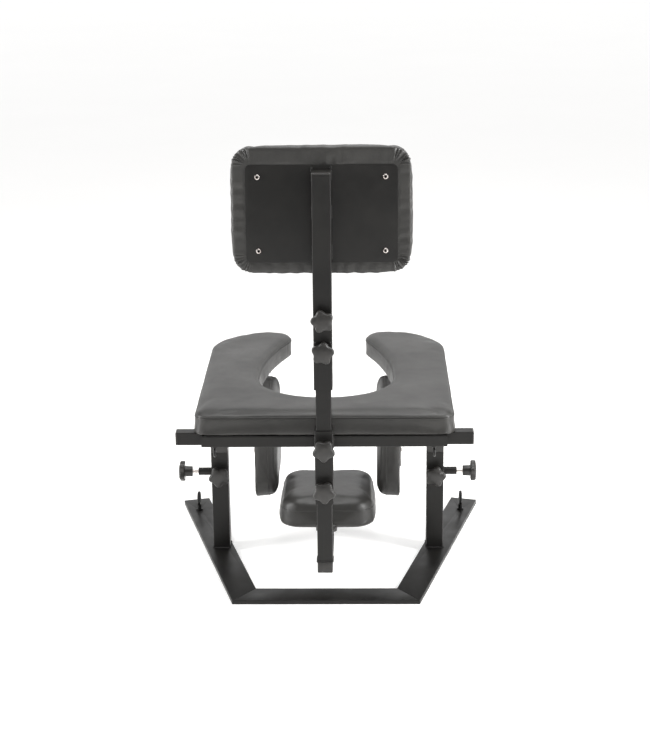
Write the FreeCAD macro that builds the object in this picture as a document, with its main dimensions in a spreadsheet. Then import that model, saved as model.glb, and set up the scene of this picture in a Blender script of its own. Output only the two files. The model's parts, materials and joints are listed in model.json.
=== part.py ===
"""Padded horseshoe seat on a V-shaped floor frame, with a sliding back pad and a low pad.

The frame stands on the floor at z = 0, +Z is up, +Y runs from the back post towards the open
front of the seat, and +X is on the right of someone who looks along +Y. The origin is on the
floor, under the middle of the whole object's box. Lengths along Y are measured from the back
edge of the floor frame and shifted to that origin by the cell rear_edge.
"""
import FreeCAD, Part
import math
import os
import Sketcher

SIZES = {
    # whole object
    "rear_edge": -353.99,       # back edge of the floor frame, behind the origin
    "edge_round": 3.0,          # outer corners of every square tube
    "slide_gap": 0.3,           # play on each side of a sliding tube
    "wall": 2.5,                # wall of the inner tubes
    # floor frame of three mitred flat bars
    "bar_width": 78.0,
    "bar_thick": 12.0,
    "rear_half": 252.6,         # half the length of the rear bar's outer edge
    "arm_length": 750.0,        # outer edge of a side bar
    "arm_splay": 15.2,          # degrees that a side bar opens outwards
    # square tubes and their sleeves
    "sleeve": 48.0,
    "tube": 40.0,
    "leg_span": 306.0,          # centre of a side leg from the middle
    "leg_ahead": 381.0,         # centre of a side leg from the back edge
    "leg_sleeve_top": 303.0,
    "bush_height": 27.0,
    "leg_foot": 100.0,          # lower end of the sliding leg at rest
    "index_pitch": 40.0,
    "index_count": 5.0,
    "index_drop": 120.0,        # lowest index hole below the pull pin
    "side_knob_height": 239.0,
    # sprung pull pins
    "pin_radius": 5.0,
    "pin_play": 0.1,
    "pin_clear": 0.25,          # tip short of the leg's face, as it rides between two holes
    "barrel_radius": 11.0,
    "barrel_length": 38.0,
    "barrel_bore": 8.2,
    "barrel_end": 4.0,
    "pin_shown": 17.0,          # bare rod between barrel and knob
    "pin_collar_radius": 7.6,
    "pin_collar_start": 6.7,    # leaves the pin free to drop into a hole
    "pin_collar_thick": 3.0,
    "spring_radius": 6.4,
    "spring_wire": 0.8,
    "spring_pitch": 4.2,
    # star knobs
    "lobe_radius": 10.5,
    "lobe_reach": 19.5,
    "lobe_count": 5.0,
    "head_thick": 18.0,
    "head_edge": 3.0,
    "hub_radius": 15.0,
    "hub_height": 8.0,
    "pin_hub_height": 22.0,
    "stud_radius": 4.9,
    "stud_play": 0.1,
    "knob_gap": 0.5,
    "boss_radius": 9.0,
    "boss_length": 10.0,
    # eye bolts
    "eye_ring": 18.0,
    "eye_wire": 4.5,
    "eye_neck": 6.0,
    "eye_collar": 10.0,
    "eye_rise": 36.0,
    "eye_shank": 5.0,
    "eye_span": 396.0,
    "eye_ahead": 649.0,
    "small_eye_ring": 10.0,
    "small_eye_wire": 3.0,
    "small_eye_neck": 4.0,
    "small_eye_collar": 7.0,
    "small_eye_rise": 19.0,
    "small_eye_span": 288.0,
    "eye_collar_thick": 4.0,
    # seat frame
    "seat_base": 480.0,         # underside of the seat board
    "beam_half": 321.7,
    "beam_side": 30.0,
    "cross_half": 387.5,
    "cross_side": 35.0,
    "cap_thick": 5.0,
    "rail_end": 700.0,
    # seat pad, plan outline of tangent arcs
    "seat_half": 350.0,
    "seat_corner": 45.0,
    "horn_radius": 172.0,
    "tip_radius": 70.0,
    "opening_radius": 182.0,
    "opening_ahead": 343.0,
    "opening_wall": 940.0,
    "seat_board": 12.0,
    "seat_foam": 48.0,
    "board_inset": 6.0,
    # back post, collar and pad
    "post_ahead": -24.0,        # centre of the back post from the back edge
    "post_foot": 144.0,
    "post_top": 1060.0,
    "seat_sleeve_foot": 308.0,
    "seat_sleeve_top": 510.0,
    "upper_knob_height": 466.0,
    "lower_knob_height": 351.0,
    "collar_foot": 622.5,
    "collar_top": 745.0,
    "collar_knob_height": 728.5,
    "back_post_foot": 752.0,
    "back_post_top": 1180.0,
    "back_knob_height": 812.0,
    "plate_wide": 383.0,
    "plate_high": 250.0,
    "plate_thick": 4.0,
    "plate_corner": 15.0,
    "plate_height": 1071.5,
    "plate_screw_wide": 320.0,
    "plate_screw_high": 189.0,
    "back_wide": 453.0,
    "back_high": 324.0,
    "back_corner": 47.0,
    "back_height": 1080.0,
    "back_board": 12.0,
    "back_foam": 46.0,
    # low arm and pad
    "arm_slope": 4.0,           # degrees that the low arm falls towards the front
    "arm_height": 128.0,        # middle of the arm's back end
    "arm_ahead": -41.0,
    "arm_wide": 40.0,
    "arm_high": 30.0,
    "arm_wall": 3.0,
    "arm_sleeve_length": 240.0,
    "arm_slide_start": 70.0,
    "arm_slide_end": 617.0,
    "arm_slide_wall": 2.0,
    "arm_knob_ahead": 192.0,
    "low_start": 279.0,
    "low_long": 336.0,
    "low_wide": 269.0,
    "low_corner": 60.0,
    "low_board": 12.0,
    "low_foam": 60.0,
    "low_plate_wide": 150.0,
    "low_plate_long": 220.0,
    "low_plate_thick": 4.0,
    # side pads
    "side_face": 144.0,         # inner face of a side pad from the middle
    "side_foam": 52.0,
    "side_board": 10.0,
    "side_back": 350.0,
    "side_long": 300.0,
    "side_foot": 145.0,
    "side_top": 450.0,
    "side_corner": 80.0,
    "bracket_thick": 5.0,
    "bracket_wide": 120.0,
    "bracket_foot": 230.0,
    "bracket_flange": 50.0,
    # screws
    "screw_radius": 7.0,
    "screw_head": 4.0,
    "screw_socket": 2.5,
    "seat_screw_first": 110.0,  # seat screws along a rail, from the back edge
    "seat_screw_second": 250.0,
    "seat_screw_third": 660.0,
    "side_screw_apart": 60.0,   # between the two columns of a side pad's screws
    "side_screw_low": 270.0,
    "side_screw_high": 400.0,
    "flange_screw": 30.0,       # flange screws, out from the side board
    "low_screw_wide": 105.0,    # pattern of the low pad's screws
    "low_screw_long": 154.0,
}

ALONG_X = FreeCAD.Rotation(FreeCAD.Vector(0, 1, 0), 90)
ALONG_MINUS_X = FreeCAD.Rotation(FreeCAD.Vector(0, 1, 0), -90)
ALONG_Y = FreeCAD.Rotation(FreeCAD.Vector(1, 0, 0), -90)
ALONG_MINUS_Y = FreeCAD.Rotation(FreeCAD.Vector(1, 0, 0), 90)
UPSIDE_DOWN = FreeCAD.Rotation(FreeCAD.Vector(1, 0, 0), 180)
DOWN_THE_ARM = FreeCAD.Rotation(FreeCAD.Vector(1, 0, 0), -90 - SIZES["arm_slope"])
ON_THE_ARM = FreeCAD.Rotation(FreeCAD.Vector(1, 0, 0), -SIZES["arm_slope"])
SIDES = (("left", -1), ("right", 1))

doc = FreeCAD.newDocument("horseshoe_seat")
sheet = doc.addObject("Spreadsheet::Sheet", "size")
for row, (alias, value) in enumerate(SIZES.items(), start=1):
    sheet.set(f"A{row}", str(value))
    sheet.setAlias(f"A{row}", alias)
doc.recompute()

pieces = []


# ---------------------------------------------------------------- building blocks

def bind(item, settings):
    """Bind properties of an object to expressions on the sheet."""
    for prop, expression in settings.items():
        item.setExpression(prop, expression)


def put(piece, x="0", y="0", z="0", turn=None):
    """Place a finished piece; y counts forward from the back edge of the floor frame."""
    if turn is not None:
        piece.Placement = FreeCAD.Placement(FreeCAD.Vector(), turn)
    piece.setExpression("Placement.Base.x", x)
    piece.setExpression("Placement.Base.y", f"size.rear_edge + {y}")
    piece.setExpression("Placement.Base.z", z)
    pieces.append(piece)
    return piece


def new_body(label):
    """Start a body whose label is the name of the piece."""
    body = doc.addObject("PartDesign::Body", label)
    body.Label = label
    return body


def solid(body, kind, settings, x="0", y="0", z="0", turn=None):
    """Add or cut a box, cylinder or torus in a body, placed by expressions."""
    item = body.newObject(f"PartDesign::{kind}", kind)
    if turn is not None:
        item.Placement = FreeCAD.Placement(FreeCAD.Vector(), turn)
    bind(item, settings)
    bind(item, {"Placement.Base.x": x, "Placement.Base.y": y, "Placement.Base.z": z})
    return item


def block(body, wide, deep, high, z="0", kind="AdditiveBox"):
    """A box centred on the body's axis, standing on height z."""
    settings = {"Length": wide, "Width": deep, "Height": high}
    return solid(body, kind, settings, f"-({wide}) / 2", f"-({deep}) / 2", z)


def rod(body, radius, length, x="0", y="0", z="0", turn=None, kind="AdditiveCylinder"):
    """A round bar, or with kind SubtractiveCylinder a round hole."""
    return solid(body, kind, {"Radius": radius, "Height": length}, x, y, z, turn)


def hole(body, radius, length, x="0", y="0", z="0", turn=None):
    """A round hole."""
    return rod(body, radius, length, x, y, z, turn, "SubtractiveCylinder")


def edges_where(feature, test):
    """Names of the edges of a feature that pass a test."""
    doc.recompute()
    return [f"Edge{i}" for i, edge in enumerate(feature.Shape.Edges, start=1) if test(edge)]


def soften(body, base, radius, test, kind="Fillet"):
    """Round or chamfer the edges that pass a test."""
    item = body.newObject(f"PartDesign::{kind}", kind)
    item.Base = (base, edges_where(base, test))
    item.setExpression("Radius" if kind == "Fillet" else "Size", radius)
    return item


def is_upright(edge):
    """True for a straight edge along the body's own z axis."""
    box = edge.BoundBox
    return box.XLength < 1e-6 and box.YLength < 1e-6


def square_tube(label, wide, deep, length, wall):
    """A hollow rectangular tube along the body's z axis, with rounded outer corners."""
    body = new_body(label)
    outer = block(body, wide, deep, length)
    soften(body, outer, "size.edge_round", is_upright)
    block(body, f"{wide} - 2 * {wall}", f"{deep} - 2 * {wall}", length, kind="SubtractiveBox")
    return body


def sleeve_tube(label, length):
    """A sleeve tube whose bore clears the sliding tube on all four sides."""
    wall = "((size.sleeve - size.tube) / 2 - size.slide_gap)"
    return square_tube(label, "size.sleeve", "size.sleeve", length, wall)


def clamp_boss(body, height, half="size.sleeve / 2"):
    """A welded nut on the back of a sleeve, with the clamp stud's hole through to the bore."""
    rod(body, "size.boss_radius", "size.boss_length", y=f"-{half}", z=height, turn=ALONG_MINUS_Y)
    hole(body, "size.stud_radius + size.stud_play", "size.boss_length + size.sleeve / 4",
         y=f"-{half} - size.boss_length", z=height, turn=ALONG_Y)


def group(label, members):
    """Several loose solids kept together as one piece."""
    piece = doc.addObject("Part::Compound", label)
    piece.Label = label
    piece.Links = members
    return piece


def sketch_on(body, role):
    """A sketch on one of the body's own origin planes."""
    sketch = body.newObject("Sketcher::SketchObject", "outline")
    plane = [item for item in body.Origin.OriginFeatures if item.Role == role][0]
    sketch.AttachmentSupport = (plane, [""])
    sketch.MapMode = "FlatFace"
    return sketch


def dimension(sketch, name, expression, kind, *where):
    """A named sketch dimension that follows the sheet."""
    index = sketch.addConstraint(Sketcher.Constraint(kind, *where))
    sketch.renameConstraint(index, name)
    sketch.setExpression(f"Constraints.{name}", expression)


def pad(body, sketch, length):
    """Extrude a sketch by an expression."""
    item = body.newObject("PartDesign::Pad", "pad")
    item.Profile = sketch
    item.setExpression("Length", length)
    return item


# ---------------------------------------------------------------- floor frame

def mitre_inset():
    """How far the inner corner of a mitre lies inside the outer corner, along the rear bar."""
    return "size.bar_width * (1 - sin(size.arm_splay * 1 deg)) / cos(size.arm_splay * 1 deg)"


def polygon(sketch, corners):
    """A closed chain of lines whose corners are pairs of expressions worked out in place."""
    values = [FreeCAD.Vector(*pair, 0) for pair in corners]
    lines = [Part.LineSegment(a, b) for a, b in zip(values, values[1:] + values[:1])]
    sketch.addGeometry(lines, False)
    count = len(lines)
    for i in range(count):
        sketch.addConstraint(Sketcher.Constraint("Coincident", i, 2, (i + 1) % count, 1))
    return count


def floor_bars():
    """One rear bar and two splayed side bars, cut on the mitre and welded edge to edge."""
    splay = math.radians(SIZES["arm_splay"])
    half, wide, long = SIZES["rear_half"], SIZES["bar_width"], SIZES["arm_length"]
    inset = wide * (1 - math.sin(splay)) / math.cos(splay)

    rear = new_body("rear_bar")
    sketch = sketch_on(rear, "XY_Plane")
    polygon(sketch, [(-half, 0), (half, 0), (half - inset, wide), (inset - half, wide)])
    sketch.addConstraint(Sketcher.Constraint("Horizontal", 0))
    sketch.addConstraint(Sketcher.Constraint("Horizontal", 2))
    sketch.addConstraint(Sketcher.Constraint("PointOnObject", 0, 1, -1))
    dimension(sketch, "left_end", "size.rear_half", "DistanceX", 0, 1, -1, 1, half)
    dimension(sketch, "right_end", "size.rear_half", "DistanceX", -1, 1, 0, 2, half)
    dimension(sketch, "across", "size.bar_width", "DistanceY", 0, 2, 1, 2, wide)
    dimension(sketch, "right_mitre", mitre_inset(), "DistanceX", 1, 2, 0, 2, inset)
    dimension(sketch, "left_mitre", mitre_inset(), "DistanceX", 0, 1, 2, 2, inset)
    pad(rear, sketch, "size.bar_thick")
    put(rear)

    along = (math.sin(splay), math.cos(splay))
    for side, sign in SIDES:
        arm = new_body(f"{side}_arm_bar")
        sketch = sketch_on(arm, "XY_Plane")
        outer = (sign * half, 0)
        inner = (sign * (half - inset), wide)
        far_outer = (sign * (half + long * along[0]), long * along[1])
        far_inner = (far_outer[0] - sign * wide * along[1], far_outer[1] + wide * along[0])
        corners = [outer, far_outer, far_inner, inner]
        polygon(sketch, corners)
        for i, (x, y) in enumerate(corners):
            where = (-1, 1, i, 1) if x > 0 else (i, 1, -1, 1)
            text = corner_expression(i)
            dimension(sketch, f"across_{i}", text[0], "DistanceX", *where, abs(x))
            if i:
                dimension(sketch, f"ahead_{i}", text[1], "DistanceY", -1, 1, i, 1, y)
        sketch.addConstraint(Sketcher.Constraint("PointOnObject", 0, 1, -1))
        pad(arm, sketch, "size.bar_thick")
        hole(arm, "size.eye_shank", "size.bar_thick", f"{sign} * size.eye_span", "size.eye_ahead")
        put(arm)


def corner_expression(index):
    """Distances of a side bar's corner from the middle and from the back edge."""
    sine = "sin(size.arm_splay * 1 deg)"
    cosine = "cos(size.arm_splay * 1 deg)"
    far_x = f"size.rear_half + size.arm_length * {sine}"
    far_y = f"size.arm_length * {cosine}"
    return (
        ("size.rear_half", "0"),
        (far_x, far_y),
        (f"{far_x} - size.bar_width * {cosine}", f"{far_y} + size.bar_width * {sine}"),
        (f"size.rear_half - {mitre_inset()}", "size.bar_width"),
    )[index]


def leg_sleeves():
    """Two upright sleeves on the side bars, each with a clamp boss and a pull-pin hole."""
    for side, sign in SIDES:
        sleeve = sleeve_tube(f"{side}_post_sleeve", "size.leg_sleeve_top - size.bar_thick")
        height = "size.side_knob_height - size.bar_thick"
        clamp_boss(sleeve, height)
        hole(sleeve, "size.pin_radius + size.pin_play", "size.sleeve / 2",
             z=height, turn=ALONG_X if sign > 0 else ALONG_MINUS_X)
        put(sleeve, f"{sign} * size.leg_span", "size.leg_ahead", "size.bar_thick")

        bush = sleeve_tube(f"{side}_guide_bush", "size.bush_height")
        put(bush, f"{sign} * size.leg_span", "size.leg_ahead", "size.leg_sleeve_top")


def outward(side_sign):
    """Rotation that points a piece's own z axis away from the middle."""
    return ALONG_X if side_sign > 0 else ALONG_MINUS_X


def pull_pins():
    """Barrel, spring, rod and knob of each sprung pin, all along one outward axis."""
    face = "(size.leg_span + size.sleeve / 2)"
    bore = "size.barrel_length - size.barrel_end"
    for side, sign in SIDES:
        turn = outward(sign)
        where = ("size.leg_ahead", "size.side_knob_height", turn)

        barrel = new_body(f"{side}_pin_barrel")
        rod(barrel, "size.barrel_radius", "size.barrel_length")
        hole(barrel, "size.barrel_bore", bore)
        hole(barrel, "size.pin_radius + size.pin_play", "size.barrel_length")
        put(barrel, f"{sign} * {face}", *where)

        start = "(size.leg_span + size.tube / 2 + size.pin_clear)"
        inside = f"({face} - {start})"
        pin = new_body(f"{side}_pin_rod")
        reach = f"{inside} + size.barrel_length + size.pin_shown"
        rod(pin, "size.pin_radius", reach)
        rod(pin, "size.pin_collar_radius", "size.pin_collar_thick",
            z=f"{inside} + size.pin_collar_start")
        put(pin, f"{sign} * {start}", *where)

        spring = new_body(f"{side}_pin_spring")
        sketch = sketch_on(spring, "XZ_Plane")
        centre = FreeCAD.Vector(SIZES["spring_radius"], SIZES["spring_wire"], 0)
        sketch.addGeometry(Part.Circle(centre, FreeCAD.Vector(0, 0, 1), SIZES["spring_wire"]))
        dimension(sketch, "wire", "size.spring_wire", "Radius", 0, SIZES["spring_wire"])
        dimension(sketch, "coil", "size.spring_radius", "DistanceX", -1, 1, 0, 3, centre.x)
        dimension(sketch, "lift", "size.spring_wire", "DistanceY", -1, 1, 0, 3, centre.y)
        coil = spring.newObject("PartDesign::AdditiveHelix", "coil")
        coil.Profile = sketch
        coil.ReferenceAxis = (sketch, ["V_Axis"])
        coil.Mode = 0
        free = "size.pin_collar_start + size.pin_collar_thick"
        bind(coil, {"Pitch": "size.spring_pitch",
                    "Height": f"{bore} - ({free}) - 2.5 * size.spring_wire"})
        put(spring, f"{sign} * ({face} + {free} + size.spring_wire / 4)", *where)

        knob = star_knob(f"{side}_pin_knob", "size.pin_hub_height")
        put(knob, f"{sign} * ({face} + size.barrel_length + size.pin_shown)", *where)


def star_knob(label, hub, stud=None):
    """A five-lobed moulded knob; its hub starts at the origin and a steel stud runs below it."""
    body = new_body(label)
    head = rod(body, "size.lobe_reach", "size.head_thick", z=hub)
    sketch = sketch_on(body, "XY_Plane")
    sketch.AttachmentOffset = FreeCAD.Placement()
    sketch.setExpression("AttachmentOffset.Base.z", hub)
    centre = FreeCAD.Vector(SIZES["lobe_reach"], 0, 0)
    sketch.addGeometry(Part.Circle(centre, FreeCAD.Vector(0, 0, 1), SIZES["lobe_radius"]))
    dimension(sketch, "lobe", "size.lobe_radius", "Radius", 0, SIZES["lobe_radius"])
    dimension(sketch, "reach", "size.lobe_reach", "DistanceX", -1, 1, 0, 3, SIZES["lobe_reach"])
    sketch.addConstraint(Sketcher.Constraint("PointOnObject", 0, 3, -1))
    lobe = pad(body, sketch, "size.head_thick")
    doc.recompute()
    lobes = body.newObject("PartDesign::PolarPattern", "lobes")
    lobes.Originals = [lobe]
    lobes.Axis = ([item for item in body.Origin.OriginFeatures if item.Role == "Z_Axis"][0], [""])
    lobes.Angle = 360
    lobes.setExpression("Occurrences", "size.lobe_count")
    body.Tip = lobes
    doc.recompute()
    top = head.Shape.BoundBox.ZMax
    soften(body, lobes, "size.head_edge",
           lambda edge: edge.BoundBox.ZLength < 1e-6 and abs(edge.BoundBox.ZMax - top) < 1e-6)
    rod(body, "size.hub_radius", hub)
    if stud:
        rod(body, "size.stud_radius", stud, turn=UPSIDE_DOWN)
    return body


STUD_THROUGH_SLEEVE = ("size.knob_gap + size.boss_length + (size.sleeve - size.tube) / 2"
                       " - size.slide_gap")


def clamp_knob(label, x, centre_y, z):
    """A star knob on the back of a sleeve, its stud ending at the sliding tube."""
    knob = star_knob(label, "size.hub_height", STUD_THROUGH_SLEEVE)
    back = f"({centre_y} - size.sleeve / 2 - size.boss_length - size.knob_gap)"
    put(knob, x, back, z, ALONG_MINUS_Y)


def eye_bolt(label, size_prefix, shank):
    """A ring on a collar; the ring's hole faces left and right."""
    body = new_body(label)
    prefix = f"size.{size_prefix}"
    solid(body, "AdditiveTorus", {"Radius1": f"{prefix}_ring", "Radius2": f"{prefix}_wire"},
          z=f"{prefix}_rise", turn=ALONG_X)
    rod(body, f"{prefix}_neck", f"{prefix}_rise - {prefix}_ring")
    rod(body, f"{prefix}_collar", "size.eye_collar_thick")
    if shank:
        rod(body, "size.eye_shank", shank, turn=UPSIDE_DOWN)
    return body


def base_eyes():
    """Tie-down rings near the front ends of the side bars."""
    for side, sign in SIDES:
        eye = eye_bolt(f"{side}_base_eye", "eye", "size.bar_thick")
        put(eye, f"{sign} * size.eye_span", "size.eye_ahead", "size.bar_thick")


# ---------------------------------------------------------------- seat

def seat_frame():
    """Legs, rails, rear beam and cross tube of the seat, with the sleeve for the back post."""
    for side, sign in SIDES:
        leg = square_tube(f"{side}_leg", "size.tube", "size.tube",
                          "size.seat_base - size.beam_side - size.leg_foot", "size.wall")
        lowest = "size.side_knob_height - size.index_drop - size.leg_foot"
        first = hole(leg, "size.pin_radius + size.slide_gap", "size.tube / 2 + size.slide_gap",
                     z=lowest, turn=outward(sign))
        doc.recompute()
        row = leg.newObject("PartDesign::LinearPattern", "index_holes")
        row.Originals = [first]
        axis = [item for item in leg.Origin.OriginFeatures if item.Role == "Z_Axis"][0]
        row.Direction = (axis, [""])
        bind(row, {"Length": "size.index_pitch * (size.index_count - 1)",
                   "Occurrences": "size.index_count"})
        leg.Tip = row
        put(leg, f"{sign} * size.leg_span", "size.leg_ahead", "size.leg_foot")

        rail = square_tube(f"{side}_seat_rail", "size.tube", "size.beam_side",
                           "size.rail_end - size.beam_side - size.cross_side", "size.wall")
        put(rail, f"{sign} * size.leg_span", "size.beam_side + size.cross_side",
            "size.seat_base - size.beam_side / 2", ALONG_Y)

    beam = square_tube("rear_beam", "size.beam_side", "size.beam_side", "2 * size.beam_half",
                       "size.wall")
    put(beam, "-size.beam_half", "size.beam_side / 2", "size.seat_base - size.beam_side / 2",
        ALONG_X)
    cross = square_tube("cross_tube", "size.cross_side", "size.cross_side", "2 * size.cross_half",
                        "size.wall")
    cross_y = "size.beam_side + size.cross_side / 2"
    cross_z = "size.seat_base - size.cross_side / 2"
    put(cross, "-size.cross_half", cross_y, cross_z, ALONG_X)

    for side, sign in SIDES:
        cap = new_body(f"{side}_tube_cap")
        rim = block(cap, "size.cross_side", "size.cross_side", "size.cap_thick")
        soften(cap, rim, "size.edge_round", is_upright)
        plug = "size.cross_side - 2 * size.wall - 2 * size.slide_gap"
        block(cap, plug, plug, "2 * size.cap_thick", "-2 * size.cap_thick")
        put(cap, f"{sign} * size.cross_half", cross_y, cross_z, outward(sign))

        eye = eye_bolt(f"{side}_seat_eye", "small_eye", None)
        put(eye, f"{sign} * size.small_eye_span", "size.beam_side / 2",
            "size.seat_base - size.beam_side", UPSIDE_DOWN)

    sleeve = sleeve_tube("rear_sleeve", "size.seat_sleeve_top - size.seat_sleeve_foot")
    for height in ("size.upper_knob_height", "size.lower_knob_height"):
        clamp_boss(sleeve, f"{height} - size.seat_sleeve_foot")
    put(sleeve, "0", "size.post_ahead", "size.seat_sleeve_foot")


def horseshoe(label, thick, inset):
    """A horseshoe slab: half its outline in tangent lines and arcs, then mirrored.

    The inset draws the whole outline in by that much, for the board under the foam.
    """
    half = SIZES["seat_half"] - inset
    corner = SIZES["seat_corner"] - inset
    horn = SIZES["horn_radius"] - inset
    tip = SIZES["tip_radius"] - inset
    opening = SIZES["opening_radius"] + inset
    wall = SIZES["opening_wall"] + inset
    ahead = SIZES["opening_ahead"]
    wall_x = opening - wall
    tip_x = half - horn
    swing = math.acos((tip_x - wall_x) / (wall + tip))
    tip_y = ahead + (wall + tip) * math.sin(swing)
    horn_y = tip_y + tip - horn

    def arc(x, y, radius, start, end):
        circle = Part.Circle(FreeCAD.Vector(x, y, 0), FreeCAD.Vector(0, 0, 1), radius)
        return Part.ArcOfCircle(circle, start, end)

    def line(x1, y1, x2, y2):
        return Part.LineSegment(FreeCAD.Vector(x1, y1, 0), FreeCAD.Vector(x2, y2, 0))

    turn = math.pi / 2
    body = new_body(label)
    sketch = sketch_on(body, "XY_Plane")
    sketch.addGeometry([
        line(0, inset, half - corner, inset),
        arc(half - corner, inset + corner, corner, -turn, 0),
        line(half, inset + corner, half, horn_y),
        arc(tip_x, horn_y, horn, 0, turn),
        arc(tip_x, tip_y, tip, turn, 2 * turn + swing),
        arc(wall_x, ahead, wall, 0, swing),
        arc(0, ahead, opening, -turn, 0),
        line(0, ahead - opening, 0, inset),
    ], False)
    joints = [(0, 2, 1, 1), (1, 2, 2, 1), (2, 2, 3, 1), (3, 2, 4, 1), (4, 2, 5, 2), (5, 1, 6, 2)]
    for joint in joints:
        sketch.addConstraint(Sketcher.Constraint("Tangent", *joint))
    sketch.addConstraint(Sketcher.Constraint("Coincident", 6, 1, 7, 1))
    sketch.addConstraint(Sketcher.Constraint("Coincident", 7, 2, 0, 1))
    sketch.addConstraint(Sketcher.Constraint("Horizontal", 0))
    sketch.addConstraint(Sketcher.Constraint("Vertical", 2))
    sketch.addConstraint(Sketcher.Constraint("Vertical", 7))
    sketch.addConstraint(Sketcher.Constraint("PointOnObject", 0, 1, -2))
    sketch.addConstraint(Sketcher.Constraint("PointOnObject", 6, 3, -2))
    drawn = f"{inset} * size.board_inset / {SIZES['board_inset']}"
    dimension(sketch, "corner", f"size.seat_corner - {drawn}", "Radius", 1, corner)
    dimension(sketch, "horn", f"size.horn_radius - {drawn}", "Radius", 3, horn)
    dimension(sketch, "tip", f"size.tip_radius - {drawn}", "Radius", 4, tip)
    dimension(sketch, "flank", f"size.opening_wall + {drawn}", "Radius", 5, wall)
    dimension(sketch, "opening", f"size.opening_radius + {drawn}", "Radius", 6, opening)
    pad(body, sketch, thick)
    doc.recompute()
    mirrored = body.newObject("PartDesign::Mirrored", "other_half")
    mirrored.Originals = [body.Tip]
    plane = [item for item in body.Origin.OriginFeatures if item.Role == "YZ_Plane"][0]
    mirrored.MirrorPlane = (plane, [""])
    body.Tip = mirrored
    doc.recompute()
    return body


def seat_pad():
    """Plywood board and the foam on it, both horseshoes."""
    board = horseshoe("seat_board", "size.seat_board", SIZES["board_inset"])
    put(board, z="size.seat_base")
    foam = horseshoe("seat_cushion", "size.seat_foam", 0.0)
    put(foam, z="size.seat_base + size.seat_board")


def screw_head(x, y, z, turn=None):
    """One button-head screw with a round socket, its back at the origin; a member of a group."""
    head = doc.addObject("Part::Cylinder", "screw_head")
    bind(head, {"Radius": "size.screw_radius", "Height": "size.screw_head"})
    socket = doc.addObject("Part::Cylinder", "screw_socket")
    bind(socket, {"Radius": "size.screw_socket", "Height": "size.screw_head",
                  "Placement.Base.z": "size.screw_head / 2"})
    screw = doc.addObject("Part::Cut", "screw")
    screw.Base = head
    screw.Tool = socket
    if turn is not None:
        screw.Placement = FreeCAD.Placement(FreeCAD.Vector(), turn)
    bind(screw, {"Placement.Base.x": x, "Placement.Base.y": y, "Placement.Base.z": z})
    return screw


def seat_screws():
    """Screws that hold the seat board to the rails, heads below the rails."""
    heads = []
    for _, sign in SIDES:
        for place in ("first", "second", "third"):
            heads.append(screw_head(f"{sign} * size.leg_span", f"size.seat_screw_{place}", "0",
                                    UPSIDE_DOWN))
    put(group("seat_screws", heads), z="size.seat_base - size.beam_side")


# ---------------------------------------------------------------- side pads

def side_pads():
    """Two upright pads under the seat, each on a board and an angled steel bracket."""
    screws = []
    for side, sign in SIDES:
        high = "size.side_top - size.side_foot"
        foam_x = "size.side_face" if sign > 0 else "-(size.side_face + size.side_foam)"
        board_x = "(size.side_face + size.side_foam)"
        if sign < 0:
            board_x = f"-({board_x} + size.side_board)"
        for name, x, thick in (("cushion", foam_x, "size.side_foam"),
                               ("board", board_x, "size.side_board")):
            body = new_body(f"{side}_side_{name}")
            slab = solid(body, "AdditiveBox",
                         {"Length": thick, "Width": "size.side_long", "Height": high})
            soften(body, slab, "size.side_corner", is_lower_cross)
            put(body, x, "size.side_back", "size.side_foot")

        outer = "(size.side_face + size.side_foam + size.side_board)"
        middle = "(size.side_back + size.side_long / 2)"
        bracket = new_body(f"{side}_side_bracket")
        rise = "size.seat_base - size.bracket_foot"
        block(bracket, "size.bracket_thick", "size.bracket_wide", rise)
        solid(bracket, "AdditiveBox",
              {"Length": "size.bracket_flange", "Width": "size.bracket_wide",
               "Height": "size.bracket_thick"},
              "-size.bracket_thick / 2" if sign > 0
              else "size.bracket_thick / 2 - size.bracket_flange",
              "-size.bracket_wide / 2", f"{rise} - size.bracket_thick")
        put(bracket, f"{sign} * ({outer} + size.bracket_thick / 2)", middle, "size.bracket_foot")

        for column in (-1, 1):
            ahead = f"{middle} + {column} * size.side_screw_apart / 2"
            for height in ("size.side_screw_low", "size.side_screw_high"):
                screws.append(screw_head(f"{sign} * ({outer} + size.bracket_thick)", ahead,
                                         height, outward(sign)))
            screws.append(screw_head(f"{sign} * ({outer} + size.flange_screw)", ahead,
                                     "size.seat_base - size.bracket_thick", UPSIDE_DOWN))
    put(group("side_pad_screws", screws))


def is_lower_cross(edge):
    """True for the two lowest edges that run across a side pad."""
    box = edge.BoundBox
    return box.YLength < 1e-6 and box.ZLength < 1e-6 and box.ZMax < 1


# ---------------------------------------------------------------- back post and pad

def back_post():
    """The long inner post, its stop collar and the outer post that carries the back pad."""
    post = square_tube("inner_post", "size.tube", "size.tube", "size.post_top - size.post_foot",
                       "size.wall")
    put(post, "0", "size.post_ahead", "size.post_foot")

    collar = sleeve_tube("stop_collar", "size.collar_top - size.collar_foot")
    clamp_boss(collar, "size.collar_knob_height - size.collar_foot")
    put(collar, "0", "size.post_ahead", "size.collar_foot")

    outer = sleeve_tube("outer_post", "size.back_post_top - size.back_post_foot")
    clamp_boss(outer, "size.back_knob_height - size.back_post_foot")
    put(outer, "0", "size.post_ahead", "size.back_post_foot")

    cap = new_body("post_cap")
    lid = block(cap, "size.sleeve", "size.sleeve", "size.cap_thick")
    soften(cap, lid, "size.edge_round", is_upright)
    block(cap, "size.tube", "size.tube", "2 * size.cap_thick", "-2 * size.cap_thick")
    put(cap, "0", "size.post_ahead", "size.back_post_top")


def rounded_slab(label, wide, high, thick, corner):
    """A slab with rounded corners, drawn in x and y and centred, standing on z = 0."""
    body = new_body(label)
    slab = block(body, wide, high, thick)
    soften(body, slab, corner, is_upright)
    return body


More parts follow.
